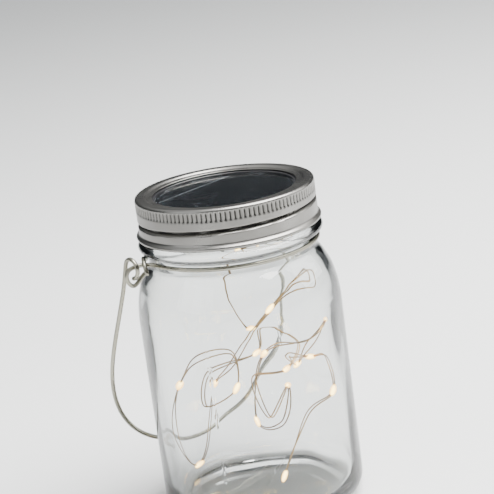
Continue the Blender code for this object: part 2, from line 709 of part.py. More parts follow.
def main():
    for old in list(bpy.data.objects):
        bpy.data.objects.remove(old)
    parts = collection("mason_jar_lantern")
    cutters = collection("cutters")
    finishes = {
        "glass": material("clear glass", (0.90, 0.95, 0.93), 0.02),
        "steel": material("brushed steel", (0.62, 0.60, 0.57), 0.35, 1.0),
        "wire": material("nickel wire", (0.47, 0.46, 0.40), 0.30, 1.0),
        "black": material("black plastic", (0.02, 0.02, 0.022), 0.45),
        "rubber": material("grey seal", (0.30, 0.30, 0.30), 0.70),
        "clear": material("clear sheet", (0.10, 0.11, 0.12), 0.20),
        "cell": material("solar cell", (0.05, 0.055, 0.065), 0.30),
        "board": material("panel board", (0.55, 0.57, 0.58), 0.50),
        "circuit": material("circuit board", (0.05, 0.22, 0.10), 0.45),
        "chip": material("moulded black", (0.03, 0.03, 0.03), 0.50),
        "inductor": material("inductor", (0.25, 0.42, 0.25), 0.50),
        "contact": material("plated contact", (0.70, 0.70, 0.68), 0.25, 1.0),
        "battery": material("battery wrap", (0.12, 0.30, 0.18), 0.40),
        "slider": material("white plastic", (0.80, 0.80, 0.78), 0.45),
        "screw": material("zinc screw", (0.60, 0.60, 0.60), 0.35, 1.0),
        "copper": material("copper wire", (0.72, 0.47, 0.20), 0.30, 1.0),
    }
    insert = place("insert_axis", None, None, parts)
    band = place("band_axis", None, None, parts)
    handle = place("handle_axis", None, None, parts)

    glass_jar(finishes["glass"], parts)
    neck_wire(finishes["wire"], parts)
    bail_handle(finishes["wire"], parts, handle)
    screw_band(finishes["steel"], parts, band)
    lid_gasket(finishes["rubber"], parts, insert)
    solar_tray(finishes["black"], parts, cutters, insert)
    solar_panel(finishes, parts, insert)
    battery_cup(finishes["black"], parts, cutters, insert)
    battery_door(finishes["black"], parts, cutters, insert)
    for number, spot in enumerate(housing_screws, 1):
        screw(f"housing_screw_{number}", spot, finishes["screw"], parts, insert)
    screw("door_screw", door_screw, finishes["screw"], parts, insert)
    circuit(finishes, parts, insert)
    switch(finishes, parts, cutters, insert)
    battery(finishes, parts, insert)
    cord_grommet(finishes["chip"], parts, insert)
    light_string(finishes["copper"], parts, insert)


main()
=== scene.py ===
import json
import math

import bpy
import numpy as np
from mathutils import Matrix, Vector


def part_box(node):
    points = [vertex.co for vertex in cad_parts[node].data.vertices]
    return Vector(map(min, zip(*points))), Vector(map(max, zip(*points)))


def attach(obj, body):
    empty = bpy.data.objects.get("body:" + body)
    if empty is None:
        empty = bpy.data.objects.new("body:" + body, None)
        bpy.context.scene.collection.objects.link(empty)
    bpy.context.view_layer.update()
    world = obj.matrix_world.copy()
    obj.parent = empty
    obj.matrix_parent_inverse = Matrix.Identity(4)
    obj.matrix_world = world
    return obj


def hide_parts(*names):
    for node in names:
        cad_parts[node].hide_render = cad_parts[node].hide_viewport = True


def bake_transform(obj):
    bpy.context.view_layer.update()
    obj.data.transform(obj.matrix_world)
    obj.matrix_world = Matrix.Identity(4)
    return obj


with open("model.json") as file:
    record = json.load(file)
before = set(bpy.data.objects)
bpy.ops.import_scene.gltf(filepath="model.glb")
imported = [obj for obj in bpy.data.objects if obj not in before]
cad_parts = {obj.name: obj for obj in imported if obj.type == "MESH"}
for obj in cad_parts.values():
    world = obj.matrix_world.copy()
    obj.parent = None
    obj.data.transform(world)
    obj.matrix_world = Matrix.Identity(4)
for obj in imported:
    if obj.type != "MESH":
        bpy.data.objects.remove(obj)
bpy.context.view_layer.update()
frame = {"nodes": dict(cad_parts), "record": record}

mm = 0.001
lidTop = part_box("screw_band")[1][2]
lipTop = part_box("glass_jar")[1][2]


def selectOnly(*pieces):
    bpy.ops.object.select_all(action="DESELECT")
    for piece in pieces:
        piece.select_set(True)
    bpy.context.view_layer.objects.active = pieces[0]


# camera
cameraLook = {
    "distance": 0.700,  # from the middle of the lid's top
    "elevation": 13.45,
    "roll": -7.9,
    "aimRight": 0.77,   # degrees from the middle of the lid's top
    "aimDown": 2.02,
    "lens": 126.6,
    "sensor": 36,
    "clipStart": 0.01,
}


def placeCamera():
    bpy.ops.object.camera_add()
    camera = bpy.context.object
    rise = math.radians(cameraLook["elevation"])
    roll = math.radians(cameraLook["roll"])
    back = Vector((0, -math.cos(rise), math.sin(rise)))
    level = Vector((1, 0, 0))
    upright = back.cross(level)
    right = level * math.cos(roll) + upright * math.sin(roll)
    up = upright * math.cos(roll) - level * math.sin(roll)
    forward = -back + right * math.tan(math.radians(cameraLook["aimRight"]))
    forward = (forward - up * math.tan(math.radians(cameraLook["aimDown"]))).normalized()
    right = (right - forward * right.dot(forward)).normalized()
    up = right.cross(forward)
    turn = Matrix((right, up, -forward)).transposed().to_4x4()
    spot = Vector((0, 0, lidTop)) + back * cameraLook["distance"]
    camera.matrix_world = Matrix.Translation(spot) @ turn
    camera.data.lens = cameraLook["lens"]
    camera.data.sensor_width = cameraLook["sensor"]
    camera.data.clip_start = cameraLook["clipStart"]
    bpy.context.scene.camera = camera


placeCamera()
print("camera placed")


# shader node groups
def newGroup(name, inputs, outputs):
    group = bpy.data.node_groups.new(name, "ShaderNodeTree")
    for label, value in inputs.items():
        socket = group.interface.new_socket(label, in_out="INPUT", socket_type="NodeSocketFloat")
        socket.default_value = value
    for label in outputs:
        group.interface.new_socket(label, in_out="OUTPUT", socket_type="NodeSocketFloat")
    enter = group.nodes.new("NodeGroupInput")
    leave = group.nodes.new("NodeGroupOutput")
    return group, enter, leave


def addNode(tree, kind, **settings):
    node = tree.nodes.new(kind)
    for key, value in settings.items():
        setattr(node, key, value)
    return node


def calc(tree, operation, first, second=None, third=None):
    node = addNode(tree, "ShaderNodeMath", operation=operation)
    for socket, value in zip(node.inputs, (first, second, third)):
        if value is None:
            continue
        if isinstance(value, (int, float)):
            socket.default_value = value
        else:
            tree.links.new(value, socket)
    return node.outputs[0]


grainLook = {
    "fineDetail": 4,
    "turnedDetail": 5,
    "smudgeDetail": 3,
    "smudgeDistortion": 0.6,
    "smudgeLow": 0.35,      # noise below this is clean
    "smudgeHigh": 0.65,     # and above this fully smudged
}


# no direction: moulded plastic, rubber, glass skin
def makeFineGrain():
    group, enter, leave = newGroup("fineGrain", {"Scale": 1500.0, "Amount": 0.1}, ["Change", "Height"])
    place = addNode(group, "ShaderNodeTexCoord")
    grain = addNode(group, "ShaderNodeTexNoise")
    grain.inputs["Detail"].default_value = grainLook["fineDetail"]
    group.links.new(place.outputs["Object"], grain.inputs["Vector"])
    group.links.new(enter.outputs["Scale"], grain.inputs["Scale"])
    centred = calc(group, "SUBTRACT", grain.outputs["Fac"], 0.5)
    group.links.new(calc(group, "MULTIPLY", centred, enter.outputs["Amount"]), leave.inputs["Change"])
    group.links.new(grain.outputs["Fac"], leave.inputs["Height"])
    return group


# fine lines that run round the Z axis, as on a spun or rolled sheet
def makeTurnedGrain():
    group, enter, leave = newGroup("turnedGrain", {"Scale": 2500.0, "Along": 6.0, "Amount": 0.2},
                                   ["Change", "Height"])
    place = addNode(group, "ShaderNodeTexCoord")
    split = addNode(group, "ShaderNodeSeparateXYZ")
    group.links.new(place.outputs["Object"], split.inputs[0])
    x, y, z = split.outputs
    squared = calc(group, "ADD", calc(group, "MULTIPLY", x, x), calc(group, "MULTIPLY", y, y))
    radius = calc(group, "SQRT", squared)
    angle = calc(group, "ARCTAN2", y, x)
    lines = addNode(group, "ShaderNodeCombineXYZ")
    group.links.new(calc(group, "MULTIPLY", radius, enter.outputs["Scale"]), lines.inputs[0])
    group.links.new(calc(group, "MULTIPLY", z, enter.outputs["Scale"]), lines.inputs[1])
    group.links.new(calc(group, "MULTIPLY", angle, enter.outputs["Along"]), lines.inputs[2])
    grain = addNode(group, "ShaderNodeTexNoise")
    grain.inputs["Scale"].default_value = 1.0
    grain.inputs["Detail"].default_value = grainLook["turnedDetail"]
    group.links.new(lines.outputs[0], grain.inputs["Vector"])
    centred = calc(group, "SUBTRACT", grain.outputs["Fac"], 0.5)
    group.links.new(calc(group, "MULTIPLY", centred, enter.outputs["Amount"]), leave.inputs["Change"])
    group.links.new(grain.outputs["Fac"], leave.inputs["Height"])
    return group


# broad uneven patches left by handling
def makeSmudges():
    group, enter, leave = newGroup("smudges", {"Scale": 60.0, "Amount": 0.1}, ["Mask", "Change"])
    place = addNode(group, "ShaderNodeTexCoord")
    broad = addNode(group, "ShaderNodeTexNoise")
    broad.inputs["Detail"].default_value = grainLook["smudgeDetail"]
    broad.inputs["Distortion"].default_value = grainLook["smudgeDistortion"]
    group.links.new(place.outputs["Object"], broad.inputs["Vector"])
    group.links.new(enter.outputs["Scale"], broad.inputs["Scale"])
    spread = addNode(group, "ShaderNodeMapRange")
    spread.inputs["From Min"].default_value = grainLook["smudgeLow"]
    spread.inputs["From Max"].default_value = grainLook["smudgeHigh"]
    group.links.new(broad.outputs["Fac"], spread.inputs["Value"])
    mask = spread.outputs["Result"]
    group.links.new(mask, leave.inputs["Mask"])
    group.links.new(calc(group, "MULTIPLY", mask, enter.outputs["Amount"]), leave.inputs["Change"])
    return group


fineGrain = makeFineGrain()
turnedGrain = makeTurnedGrain()
smudges = makeSmudges()


# sizes of the screw finish, which the materials read too
threadSizes = {"pitch": 0.00508, "start": lipTop - 0.0043, "front": math.radians(270)}
bandSizes = {
    "segments": 720,
    "radius": 0.0365,
    "opening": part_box("panel_sheet")[1][0] + 0.0012,
    "sheet": 0.0005,
    "height": 0.0168,
    "ledge": 0.0007,
    "corner": 0.0012,
    "curl": 0.0377,
    "curlRound": 0.0009,
    "groove": 0.0015,
    "grooveHalf": 0.0012,   # half of its width
    "grooveTop": 0.0070,
    "grooveBottom": 0.0125,
    "ribs": 120,
    "ribPower": 3,          # higher is a narrower slot
    "ribDepth": 0.0005,
    "ribTop": 0.0014,
    "ribBottom": 0.0050,
    "wallFrom": 0.034,      # the groove moves what lies farther out than this
    "skin": 0.0002,         # and the ribs only this outermost layer
    "smoothBelow": math.radians(40),
}


# materials
def useGroup(tree, group, **values):
    node = addNode(tree, "ShaderNodeGroup", node_tree=group)
    for key, value in values.items():
        node.inputs[key].default_value = value
    return node


def newMaterial(name, color, roughness, metallic=0.0):
    material = bpy.data.materials.new(name)
    material.use_nodes = True
    shader = material.node_tree.nodes["Principled BSDF"]
    shader.inputs["Base Color"].default_value = (*color, 1)
    shader.inputs["Roughness"].default_value = roughness
    shader.inputs["Metallic"].default_value = metallic
    return material, material.node_tree, shader


# base colour between two colours by a mask
def tint(tree, shader, mask, first, second):
    mix = addNode(tree, "ShaderNodeMix", data_type="RGBA")
    tree.links.new(mask, mix.inputs["Factor"])
    mix.inputs[6].default_value = (*first, 1)
    mix.inputs[7].default_value = (*second, 1)
    tree.links.new(mix.outputs[2], shader.inputs["Base Color"])


def bump(tree, shader, height, strength, distance):
    node = addNode(tree, "ShaderNodeBump")
    node.inputs["Strength"].default_value = strength
    node.inputs["Distance"].default_value = distance
    tree.links.new(height, node.inputs["Height"])
    tree.links.new(node.outputs[0], shader.inputs["Normal"])


patchLook = {"scale": 55.0, "gloss": 0.08, "bumpHeight": 0.0002}


# a finish with patchy colour, uneven gloss and a fine surface
def grained(name, color, darker, roughness, scale, grain, depth, metallic=0.0, group=fineGrain):
    material, tree, shader = newMaterial(name, color, roughness, metallic)
    patches = useGroup(tree, smudges, Scale=patchLook["scale"], Amount=patchLook["gloss"])
    tint(tree, shader, patches.outputs["Mask"], color, darker)
    surface = useGroup(tree, group, Scale=scale, Amount=grain)
    gloss = calc(tree, "ADD", surface.outputs["Change"], patches.outputs["Change"])
    tree.links.new(calc(tree, "ADD", gloss, roughness), shader.inputs["Roughness"])
    bump(tree, shader, surface.outputs["Height"], depth, patchLook["bumpHeight"])
    return material


glassLook = {
    "color": (0.97, 0.985, 0.98),
    "roughness": 0.0,
    "ior": 1.5,
    "rippleScale": 34.0,
    "rippleDetail": 1.5,
    "rippleStretch": 0.35,  # ripples run down the wall
    "rippleDepth": 0.00022,
    "seamHeading": 248,     # degrees round from +X
    "seamWidth": 0.0004,
    "seamDepth": 0.00004,
}


# moulded glass: slow ripples down the wall and a thin mould seam
def makeGlass():
    material, tree, shader = newMaterial("clearGlass", glassLook["color"], glassLook["roughness"])
    shader.inputs["Transmission Weight"].default_value = 1.0
    shader.inputs["IOR"].default_value = glassLook["ior"]
    place = addNode(tree, "ShaderNodeTexCoord")
    stretch = addNode(tree, "ShaderNodeMapping")
    stretch.inputs["Scale"].default_value = (1, 1, glassLook["rippleStretch"])
    tree.links.new(place.outputs["Object"], stretch.inputs["Vector"])
    ripple = addNode(tree, "ShaderNodeTexNoise")
    ripple.inputs["Scale"].default_value = glassLook["rippleScale"]
    ripple.inputs["Detail"].default_value = glassLook["rippleDetail"]
    tree.links.new(stretch.outputs[0], ripple.inputs["Vector"])
    heading = math.radians(glassLook["seamHeading"])
    across = addNode(tree, "ShaderNodeVectorMath", operation="DOT_PRODUCT")
    across.inputs[1].default_value = (-math.sin(heading), math.cos(heading), 0)
    tree.links.new(place.outputs["Object"], across.inputs[0])
    away = calc(tree, "ABSOLUTE", across.outputs["Value"])
    offLine = calc(tree, "DIVIDE", away, glassLook["seamWidth"])
    ridge = calc(tree, "MAXIMUM", calc(tree, "SUBTRACT", 1.0, offLine), 0.0)
    seam = calc(tree, "MULTIPLY", ridge, glassLook["seamDepth"] / glassLook["rippleDepth"])
    bump(tree, shader, calc(tree, "ADD", ripple.outputs["Fac"], seam), 1.0, glassLook["rippleDepth"])
    return material


sheetLook = {
    "color": (0.72, 0.75, 0.78),
    "roughness": 0.07,
    "ior": 1.3,
    "grainScale": 900.0,
    "grain": 0.05,
}


# tinted cover over the solar cells
def makeSheet():
    material, tree, shader = newMaterial("panelCover", sheetLook["color"], sheetLook["roughness"])
    shader.inputs["Transmission Weight"].default_value = 1.0
    shader.inputs["IOR"].default_value = sheetLook["ior"]
    surface = useGroup(tree, fineGrain, Scale=sheetLook["grainScale"], Amount=sheetLook["grain"])
    gloss = calc(tree, "ADD", surface.outputs["Change"], sheetLook["roughness"])
    tree.links.new(gloss, shader.inputs["Roughness"])
    return material


glowLook = {
    "resin": {"rim": (0.40, 0.16, 0.010), "middle": (1.0, 0.74, 0.24), "strength": 10.0,
              "base": (0.95, 0.80, 0.55)},
    "chip": {"rim": (1.0, 0.70, 0.36), "middle": (1.0, 0.86, 0.60), "strength": 16.0,
             "base": (1.0, 0.9, 0.7)},
    "roughness": 0.25,
    "grainScale": 700.0,
    "grain": 0.3,
    "rimBlend": 0.72,
}


# resin or chip that shines: nearly white where it faces the eye, deeper in colour at its rim
def makeGlow(name, glow):
    material, tree, shader = newMaterial(name, glow["base"], glowLook["roughness"])
    surface = useGroup(tree, fineGrain, Scale=glowLook["grainScale"], Amount=glowLook["grain"])
    facing = addNode(tree, "ShaderNodeLayerWeight")
    facing.inputs["Blend"].default_value = glowLook["rimBlend"]
    rim = calc(tree, "ADD", facing.outputs["Facing"], surface.outputs["Change"])
    mix = addNode(tree, "ShaderNodeMix", data_type="RGBA")
    tree.links.new(rim, mix.inputs["Factor"])
    mix.inputs[6].default_value = (*glow["middle"], 1)
    mix.inputs[7].default_value = (*glow["rim"], 1)
    tree.links.new(mix.outputs[2], shader.inputs["Emission Color"])
    shader.inputs["Emission Strength"].default_value = glow["strength"]
    return material


# for each slot: name, colour, colour of the patches, roughness, and its surface
finishes = {
    "band_steel": ("rolledSteel", (0.29, 0.282, 0.267), (0.255, 0.247, 0.233), 0.26,
                   {"metallic": 1.0, "group": turnedGrain, "scale": 6000.0, "grain": 0.08, "depth": 0.02}),
    "wire_nickel": ("nickelWire", (0.38, 0.365, 0.30), (0.29, 0.278, 0.228), 0.24,
                    {"metallic": 1.0, "scale": 2500.0, "grain": 0.12, "depth": 0.06}),
    "black_plastic": ("blackPlastic", (0.012, 0.012, 0.014), (0.020, 0.020, 0.022), 0.32,
                      {"scale": 3000.0, "grain": 0.15, "depth": 0.10}),
    "seal_rubber": ("sealRubber", (0.30, 0.30, 0.30), (0.24, 0.24, 0.24), 0.7,
                    {"scale": 2500.0, "grain": 0.2, "depth": 0.3}),
    "solar_cell": ("solarCell", (0.006, 0.0065, 0.008), (0.010, 0.0105, 0.012), 0.22,
                   {"scale": 900.0, "grain": 0.06, "depth": 0.02}),
    "panel_board": ("panelBoard", (0.62, 0.64, 0.65), (0.54, 0.56, 0.57), 0.45,
                    {"scale": 1200.0, "grain": 0.1, "depth": 0.08}),
    "circuit_green": ("solderMask", (0.04, 0.20, 0.09), (0.03, 0.15, 0.07), 0.35,
                      {"scale": 1800.0, "grain": 0.1, "depth": 0.1}),
    "moulded_black": ("mouldedBlack", (0.022, 0.022, 0.022), (0.03, 0.03, 0.03), 0.5,
                      {"scale": 3000.0, "grain": 0.15, "depth": 0.15}),
    "inductor_green": ("coatedCoil", (0.22, 0.38, 0.22), (0.17, 0.30, 0.17), 0.4,
                       {"scale": 1500.0, "grain": 0.1, "depth": 0.1}),
    "contact_plate": ("platedContact", (0.70, 0.70, 0.68), (0.60, 0.60, 0.57), 0.2,
                      {"metallic": 1.0, "scale": 2500.0, "grain": 0.12, "depth": 0.05}),
    "battery_wrap": ("batteryWrap", (0.10, 0.28, 0.16), (0.08, 0.23, 0.13), 0.3,
                     {"scale": 1200.0, "grain": 0.08, "depth": 0.04}),
    "switch_white": ("whitePlastic", (0.78, 0.78, 0.76), (0.72, 0.72, 0.70), 0.4,
                     {"scale": 3000.0, "grain": 0.1, "depth": 0.1}),
    "screw_zinc": ("zincScrew", (0.60, 0.60, 0.60), (0.50, 0.50, 0.50), 0.3,
                   {"metallic": 1.0, "scale": 2500.0, "grain": 0.15, "depth": 0.1}),
    "copper_wire": ("lacqueredCopper", (0.58, 0.36, 0.13), (0.27, 0.18, 0.09), 0.34,
                    {"metallic": 1.0, "scale": 1800.0, "grain": 0.15, "depth": 0.05}),
}
cellIor = 1.25      # a textured cell mirrors little
looks = {"glass": makeGlass(), "clear_sheet": makeSheet()}
for slotName, (name, color, darker, roughness, rest) in finishes.items():
    looks[slotName] = grained(name, color, darker, roughness, **rest)
looks["solar_cell"].node_tree.nodes["Principled BSDF"].inputs["IOR"].default_value = cellIor
resin = makeGlow("lightResin", glowLook["resin"])
chipGlow = makeGlow("lightChip", glowLook["chip"])


# every carried-over node gets its slot's material
def dressNodes():
    for row in frame["record"]["subparts"]:
        node = frame["nodes"][row["node"]]
        for slot in node.material_slots:
            slot.material = looks[row["material_slot"]]


# painted shade for the band's recesses: its colour and how strongly it darkens slots and groove
paintedRecessShade = {
    "color": (0.04, 0.04, 0.038),
    "slotShade": 0.85,
    "grooveShade": 1.1,
    "mostShade": 0.9,
    "grooveDrop": 0.0002,   # the painted shade line lies this far below the groove's middle
    "grooveWidth": 0.55,    # as a share of the groove's
}


# painted shade: the band's knurl slots and its rolled groove are darker at their bottoms
def shadeRecesses():
    tree = looks["band_steel"].node_tree
    shader = tree.nodes["Principled BSDF"]
    place = addNode(tree, "ShaderNodeTexCoord")
    split = addNode(tree, "ShaderNodeSeparateXYZ")
    tree.links.new(place.outputs["Object"], split.inputs[0])
    x, y, z = split.outputs
    angle = calc(tree, "ARCTAN2", y, x)
    slot = calc(tree, "COSINE", calc(tree, "MULTIPLY", angle, bandSizes["ribs"]))
    slot = calc(tree, "POWER", calc(tree, "MULTIPLY_ADD", slot, -0.5, 0.5), bandSizes["ribPower"])
    middle = lidTop - (bandSizes["ribTop"] + bandSizes["ribBottom"]) / 2
    reach = (bandSizes["ribBottom"] - bandSizes["ribTop"]) / 2
    away = calc(tree, "DIVIDE", calc(tree, "ABSOLUTE", calc(tree, "SUBTRACT", z, middle)), reach)
    slot = calc(tree, "MULTIPLY", slot, calc(tree, "LESS_THAN", away, 1.0))
    turn = calc(tree, "SUBTRACT", angle, threadSizes["front"])
    turn = calc(tree, "FRACT", calc(tree, "DIVIDE", turn, 2 * math.pi))
    turn = calc(tree, "SUBTRACT", turn, calc(tree, "GREATER_THAN", turn, 0.5))
    start = threadSizes["start"] - paintedRecessShade["grooveDrop"]
    line = calc(tree, "MULTIPLY_ADD", turn, threadSizes["pitch"], start)
    off = calc(tree, "ABSOLUTE", calc(tree, "SUBTRACT", z, line))
    off = calc(tree, "DIVIDE", off, bandSizes["grooveHalf"] * paintedRecessShade["grooveWidth"])
    groove = calc(tree, "MAXIMUM", calc(tree, "SUBTRACT", 1.0, off), 0.0)
    groove = calc(tree, "MULTIPLY", groove, paintedRecessShade["grooveShade"])
    dark = calc(tree, "MULTIPLY_ADD", slot, paintedRecessShade["slotShade"], groove)
    dark = calc(tree, "MINIMUM", dark, paintedRecessShade["mostShade"])
    mix = addNode(tree, "ShaderNodeMix", data_type="RGBA")
    tree.links.new(shader.inputs["Base Color"].links[0].from_socket, mix.inputs[6])
    mix.inputs[7].default_value = (*paintedRecessShade["color"], 1)
    tree.links.new(dark, mix.inputs["Factor"])
    tree.links.new(mix.outputs[2], shader.inputs["Base Color"])


shadeRecesses()
dressNodes()
print("materials made")


# string of lights
stringSizes = {
    "diameter": 0.0007,
    "strand": 0.00028,      # radius of one strand
    "strandSides": 1,       # rounding steps of its section
    "apart": 0.00026,       # strands' distance from the middle where they lie together
    "bow": 0.0013,          # and where they spring apart between two lights
    "drop": 0.00118,        # radius of a drop of resin
    "dropLength": 0.0027,   # half of its length
    "dropSides": 16,
    "dropRings": 12,
    "chip": 0.00042,
    "chipShape": (1, 0.6, 1.8),
    "chipBevel": 0.0001,
    "twist": 0.035,         # turn of the two strands round each other, from sample to sample
    "leastBow": 0.35,       # smallest share of the bow
    "endShift": 0.3,        # the last drop lies this share of its half length back
    "samples": 900,
    "stillBelow": 0.03,     # a height
    "stillAbove": 0.02,     # and a distance below the jar's lip
}
lightRoute = [      # in millimetres, as the solid string runs
    (0, 15, 117), (0, 15, 109), (-5, 14, 95), (-4, 10, 82), (4, 3, 73), (20, -3, 88), (31, 6, 88),
    (28, -1, 95), (11, -17, 86), (-7, -6, 62), (-15, 9, 49), (-20, 24, 28), (-27, 18, 10), (-36, 5, 28),
    (-28, -8, 57), (-20, -21, 71), (-6, -28, 74), (-6, -31, 60), (-19, -24, 52), (-16, -6, 60),
    (5, 8, 60), (8, 22, 66), (23, 25, 57), (14, 11, 50), (2, -3, 53), (6, -10, 38), (14, 3, 46),
    (11, 18, 24), (0, 25, 24), (8, 12, 58), (25, -18, 72), (34, -8, 76), (27, 5, 63), (20, 19, 49),
    (16, 0, 60), (27, 15, 53), (33, 2, 56), (32, -11, 46), (20, -16, 38), (8, -20, 14),
]
lightsAt = [4, 8, 10, 12, 14, 17, 20, 23, 26, 28, 29, 31, 33, 35, 37, 39]     # route points with a light
curveSteps = 24     # fine points from one given point to the next


# evenly spaced points on a smooth curve through the given ones, and each given point's share of it
def smoothLine(points, count):
    ends = [2 * points[0] - points[1]] + list(points) + [2 * points[-1] - points[-2]]
    fine = []
    for a, b, c, d in zip(ends, ends[1:], ends[2:], ends[3:]):
        for i in range(curveSteps):
            t = i / curveSteps
            fine.append(0.5 * (2 * b + (c - a) * t + (2 * a - 5 * b + 4 * c - d) * t * t
                               + (3 * b - a - 3 * c + d) * t ** 3))
    fine.append(points[-1])
    steps = np.array([0.0] + [(b - a).length for a, b in zip(fine, fine[1:])]).cumsum()
    spots = np.array([list(point) for point in fine])
    wanted = np.linspace(0, steps[-1], count)
    even = np.stack([np.interp(wanted, steps, spots[:, axis]) for axis in range(3)], axis=1)
    return even, steps[::curveSteps] / steps[-1], steps[-1]


# a round wire along the points, as a mesh
def wireMesh(name, points, radius, sides):
    curve = bpy.data.curves.new(name, "CURVE")
    curve.dimensions = "3D"
    curve.bevel_depth = radius
    curve.bevel_resolution = sides
    curve.use_fill_caps = True
    spline = curve.splines.new("POLY")
    spline.points.add(len(points) - 1)
    for point, spot in zip(spline.points, points):
        point.co = (*spot, 1)
    wire = bpy.data.objects.new(name, curve)
    bpy.context.collection.objects.link(wire)
    selectOnly(wire)
    bpy.ops.object.convert(target="MESH")
    return bpy.context.object


def joined(name, pieces):
    selectOnly(*pieces)
    if len(pieces) > 1:
        bpy.ops.object.join()
    piece = bpy.context.object
    piece.name = name
    return piece


def makeLightString():
    line, shares, length = smoothLine([Vector(point) * mm for point in lightRoute], stringSizes["samples"])
    lights = [shares[i] for i in lightsAt]
    marks = [0.0] + lights
    tangents = np.gradient(line, axis=0)
    tangents /= np.linalg.norm(tangents, axis=1)[:, None]
    side = Vector((1, 0, 0))
    offsets = []
    least = stringSizes["leastBow"]
    for i, tangent in enumerate(tangents):
        tangent = Vector(tangent)
        side = (side - tangent * side.dot(tangent)).normalized()
        side = Matrix.Rotation(stringSizes["twist"], 3, tangent) @ side
        share = i / (len(line) - 1)
        leg = max(k for k, mark in enumerate(marks) if share >= mark)
        start = marks[leg]
        end = marks[leg + 1] if leg + 1 < len(marks) else 1.0
        part = (share - start) / max(end - start, 1e-6)
        reach = least + (1 - least) * ((leg * 5) % 7) / 6      # differs from leg to leg
        swell = max(0.0, math.sin(math.pi * min(part, 1.0))) ** 2 * reach
        if leg == 0:
            swell = 0.0     # the strands stay together up to the first light
        offsets.append(side * (stringSizes["apart"] + stringSizes["bow"] * swell))
    offsets = np.array([list(offset) for offset in offsets])
    strands = [wireMesh("strand", line + sign * offsets, stringSizes["strand"], stringSizes["strandSides"])
               for sign in (1, -1)]
    string = joined("lightString", strands)
    string.data.materials.clear()
    string.data.materials.append(looks["copper_wire"])
    bpy.ops.object.shade_smooth()
    drops, chips = [], []
    for share in lights:
        i = min(int(share * (len(line) - 1)), len(line) - 2)
        turn = Vector(tangents[i]).to_track_quat("Z", "Y").to_euler()
        back = stringSizes["dropLength"] * stringSizes["endShift"] if share == 1 else 0
        centre = Vector(line[i]) - Vector(tangents[i]) * back
        bpy.ops.mesh.primitive_uv_sphere_add(
            segments=stringSizes["dropSides"], ring_count=stringSizes["dropRings"],
            radius=stringSizes["drop"], location=centre, rotation=turn)
        bpy.ops.object.mode_set(mode="EDIT")
        stretch = stringSizes["dropLength"] / stringSizes["drop"]
        bpy.ops.transform.resize(value=(1, 1, stretch), orient_type="LOCAL")
        bpy.ops.object.mode_set(mode="OBJECT")
        bpy.ops.object.shade_smooth()
        drops.append(bpy.context.object)
        bpy.ops.mesh.primitive_cube_add(size=2 * stringSizes["chip"], location=centre, rotation=turn)
        bpy.ops.object.mode_set(mode="EDIT")
        bpy.ops.transform.resize(value=stringSizes["chipShape"], orient_type="LOCAL")
        bpy.ops.mesh.bevel(offset=stringSizes["chipBevel"], segments=2)
        bpy.ops.object.mode_set(mode="OBJECT")
        chips.append(bpy.context.object)
    drops = joined("lightDrops", drops)
    chips = joined("lightChips", chips)
    for piece, look in ((drops, resin), (chips, chipGlow)):
        selectOnly(piece)
        bpy.ops.object.transform_apply()
        piece.data.materials.clear()
        piece.data.materials.append(look)
    for piece in (string, drops, chips):
        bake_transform(piece)
    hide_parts("led_string")


makeLightString()
print("string of lights made")


shellMerge = 0.00001     # points nearer to each other than this become one


# turned shells: a circle that is extruded ring by ring
def ringShell(name, outline, segments, closed):
    bpy.ops.object.select_all(action="DESELECT")
    radius, height = outline[0]
    bpy.ops.mesh.primitive_circle_add(vertices=segments, radius=radius, location=(0, 0, height))
    piece = bpy.context.object
    piece.name = name
    bpy.ops.object.transform_apply()
    bpy.ops.object.mode_set(mode="EDIT")
    bpy.ops.mesh.select_all(action="SELECT")
    rings = outline[1:] + outline[:1] if closed else outline[1:]
    for nextRadius, nextHeight in rings:
        bpy.ops.mesh.extrude_edges_move(TRANSFORM_OT_translate={"value": (0, 0, nextHeight - height)})
        ratio = nextRadius / radius
        bpy.ops.transform.resize(value=(ratio, ratio, 1), center_override=(0, 0, nextHeight))
        radius, height = nextRadius, nextHeight
    bpy.ops.mesh.select_all(action="SELECT")
    if closed:
        bpy.ops.mesh.remove_doubles(threshold=shellMerge)
    else:
        bpy.ops.mesh.fill_holes(sides=0)
    bpy.ops.mesh.select_all(action="SELECT")
    bpy.ops.mesh.normals_make_consistent(inside=False)
    bpy.ops.object.mode_set(mode="OBJECT")
    return piece


# moves points in or out from the axis by shift(angle, radius, height), but none within 1 mm of it
def moveRadii(piece, shift):
    count = len(piece.data.vertices)
    spots = np.empty(count * 3)
    piece.data.vertices.foreach_get("co", spots)
    spots = spots.reshape(-1, 3)
    radius = np.hypot(spots[:, 0], spots[:, 1])
    move = shift(np.arctan2(spots[:, 1], spots[:, 0]), radius, spots[:, 2])
    scale = 1 + np.where(radius > mm, move / np.maximum(radius, mm), 0)
    spots[:, :2] *= scale[:, None]
    piece.data.vertices.foreach_set("co", spots.ravel())
    piece.data.update()


def arcPoints(centre, radius, start, end, count):
    points = []
    for i in range(count):
        angle = math.radians(start + (end - start) * i / (count - 1))
        points.append((centre[0] + radius * math.cos(angle), centre[1] + radius * math.sin(angle)))
    return points


def evenRows(radius, top, bottom, step):
    count = max(2, int(abs(top - bottom) / step) + 1)
    return [(radius, top + (bottom - top) * i / (count - 1)) for i in range(count)]


# 0 to 1 across a right-hand helix that crosses the start height at the front
def helixRidge(angle, height, offset, half):
    pitch = threadSizes["pitch"]
    line = threadSizes["start"] + offset + pitch * (angle - threadSizes["front"]) / (2 * math.pi)
    away = np.abs((height - line + pitch / 2) % pitch - pitch / 2)
    return np.where(away < half, np.cos(math.pi * away / (2 * half)) ** 2, 0)


def fadeBetween(height, low, high, run):
    return np.clip(np.minimum((height - low) / run + 1, (high - height) / run + 1), 0, 1)


# light line between the two solar cells
cellLine = {
    "heading": 136,     # degrees round from +X
    "offset": 0.0169,   # from the lid's middle
    "length": 0.0420,
    "width": 0.00036,
    "thickness": 0.0001,
    "above": 0.00008,   # clear of the cells
    "bevel": 0.00003,
}


